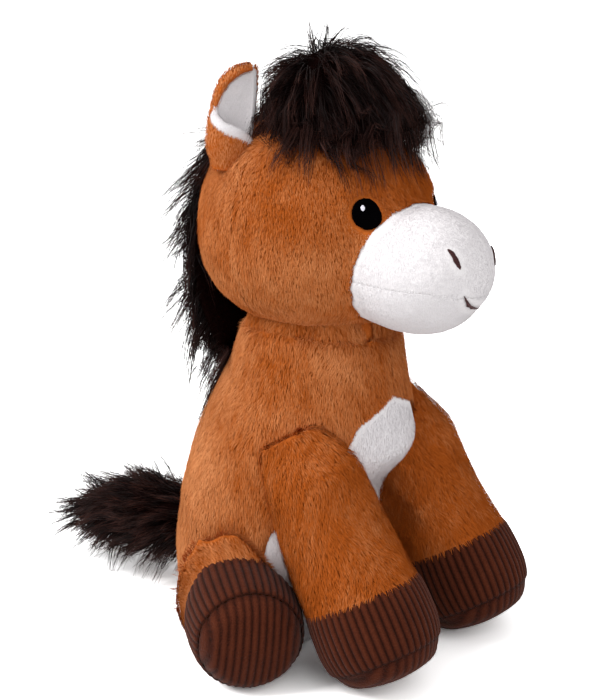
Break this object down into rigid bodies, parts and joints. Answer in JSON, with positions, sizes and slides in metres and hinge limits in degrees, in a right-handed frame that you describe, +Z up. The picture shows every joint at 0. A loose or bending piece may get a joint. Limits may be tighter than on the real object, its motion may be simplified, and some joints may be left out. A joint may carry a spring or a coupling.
{
  "type": "plush pony",
  "caption": "Seated stuffed pony of brown and white plush with corduroy hooves, long-pile forelock, mane and tail, and an embroidered face; head, ears, legs and tail move on sewn joints.",
  "frame": {"origin": "on the floor under the seat, on the pony's middle plane", "axes": "+Z up from the floor, -Y the way the body faces, -X its right side"},
  "size_m": [0.1856, 0.2343, 0.2729],
  "materials": {
    "brown_plush": "short-pile plush",
    "white_plush": "short-pile plush",
    "dark_long_pile": "long-pile faux fur",
    "brown_corduroy": "ribbed corduroy",
    "fibre_stuffing": "loose polyester fibre",
    "black_thread": "satin-stitch embroidery",
    "pale_thread": "satin-stitch embroidery",
    "brown_thread": "satin-stitch embroidery"
  },
  "bodies": {
    "torso": {"torso_side_right": "brown_plush", "torso_side_left": "brown_plush", "belly_panel": "white_plush", "torso_stuffing": "fibre_stuffing"},
    "neck": {"neck_stuffing": "fibre_stuffing"},
    "head": {"face_panel": "brown_plush", "head_back_panel": "brown_plush", "head_stuffing": "fibre_stuffing", "muzzle_upper": "white_plush", "muzzle_chin": "white_plush", "smile": "brown_thread", "eye_right": "black_thread", "eye_left": "black_thread", "eye_glint_right": "pale_thread", "eye_glint_left": "pale_thread", "nostril_right": "brown_thread", "nostril_left": "brown_thread", "forelock": "dark_long_pile", "mane": "dark_long_pile"},
    "ear_right": {"ear_back_right": "brown_plush", "ear_lining_right": "white_plush"},
    "ear_left": {"ear_back_left": "brown_plush", "ear_lining_left": "white_plush"},
    "front_leg_right": {"front_sleeve_right": "brown_plush", "front_hoof_band_right": "brown_corduroy", "front_sole_right": "brown_corduroy", "front_stuffing_right": "fibre_stuffing"},
    "front_leg_left": {"front_sleeve_left": "brown_plush", "front_hoof_band_left": "brown_corduroy", "front_sole_left": "brown_corduroy", "front_stuffing_left": "fibre_stuffing"},
    "hind_leg_right": {"hind_sleeve_right": "brown_plush", "hind_hoof_band_right": "brown_corduroy", "hind_sole_right": "brown_corduroy", "hind_stuffing_right": "fibre_stuffing"},
    "hind_leg_left": {"hind_sleeve_left": "brown_plush", "hind_hoof_band_left": "brown_corduroy", "hind_sole_left": "brown_corduroy", "hind_stuffing_left": "fibre_stuffing"},
    "tail": {"tail": "dark_long_pile"}
  },
  "joints": [
    {"name": "head_nod", "type": "hinge", "parent": "torso", "child": "neck", "pos_m": [-0.00772, -0.0056, 0.14568], "axis": [0.9835, -0.0515, -0.1736], "range_deg": [-8, 8], "stiffness_Nm_per_rad": 1.5},
    {"name": "head_turn", "type": "hinge", "parent": "neck", "child": "head", "pos_m": [-0.00772, -0.0056, 0.14568], "axis": [0.1734, -0.0091, 0.9848], "range_deg": [-25, 25], "stiffness_Nm_per_rad": 1},
    {"name": "ear_fold_right", "type": "hinge", "parent": "head", "child": "ear_right", "pos_m": [-0.03679, 0.01423, 0.22307], "axis": [0.9024, -0.3897, -0.1837], "range_deg": [-15, 20], "stiffness_Nm_per_rad": 0.03},
    {"name": "ear_fold_left", "type": "hinge", "parent": "head", "child": "ear_left", "pos_m": [0.04789, 0.00979, 0.20812], "axis": [0.9455, 0.2929, -0.1426], "range_deg": [-15, 20], "stiffness_Nm_per_rad": 0.03},
    {"name": "front_lift_right", "type": "hinge", "parent": "torso", "child": "front_leg_right", "pos_m": [-0.04361, -0.02095, 0.10429], "axis": [-1, 0, 0], "range_deg": [0, 40], "stiffness_Nm_per_rad": 0.4},
    {"name": "front_lift_left", "type": "hinge", "parent": "torso", "child": "front_leg_left", "pos_m": [0.04361, -0.02095, 0.10429], "axis": [-1, 0, 0], "range_deg": [0, 40], "stiffness_Nm_per_rad": 0.4},
    {"name": "hind_swing_right", "type": "hinge", "parent": "torso", "child": "hind_leg_right", "pos_m": [-0.0526, -0.00075, 0.05622], "axis": [0, 0, -1], "range_deg": [0, 25], "stiffness_Nm_per_rad": 0.4},
    {"name": "hind_swing_left", "type": "hinge", "parent": "torso", "child": "hind_leg_left", "pos_m": [0.0526, -0.00075, 0.05622], "axis": [0, 0, 1], "range_deg": [0, 25], "stiffness_Nm_per_rad": 0.4},
    {"name": "tail_lift", "type": "hinge", "parent": "torso", "child": "tail", "pos_m": [0, 0.05871, 0.06128], "axis": [1, 0, 0], "range_deg": [0, 40], "stiffness_Nm_per_rad": 0.1}
  ]
}
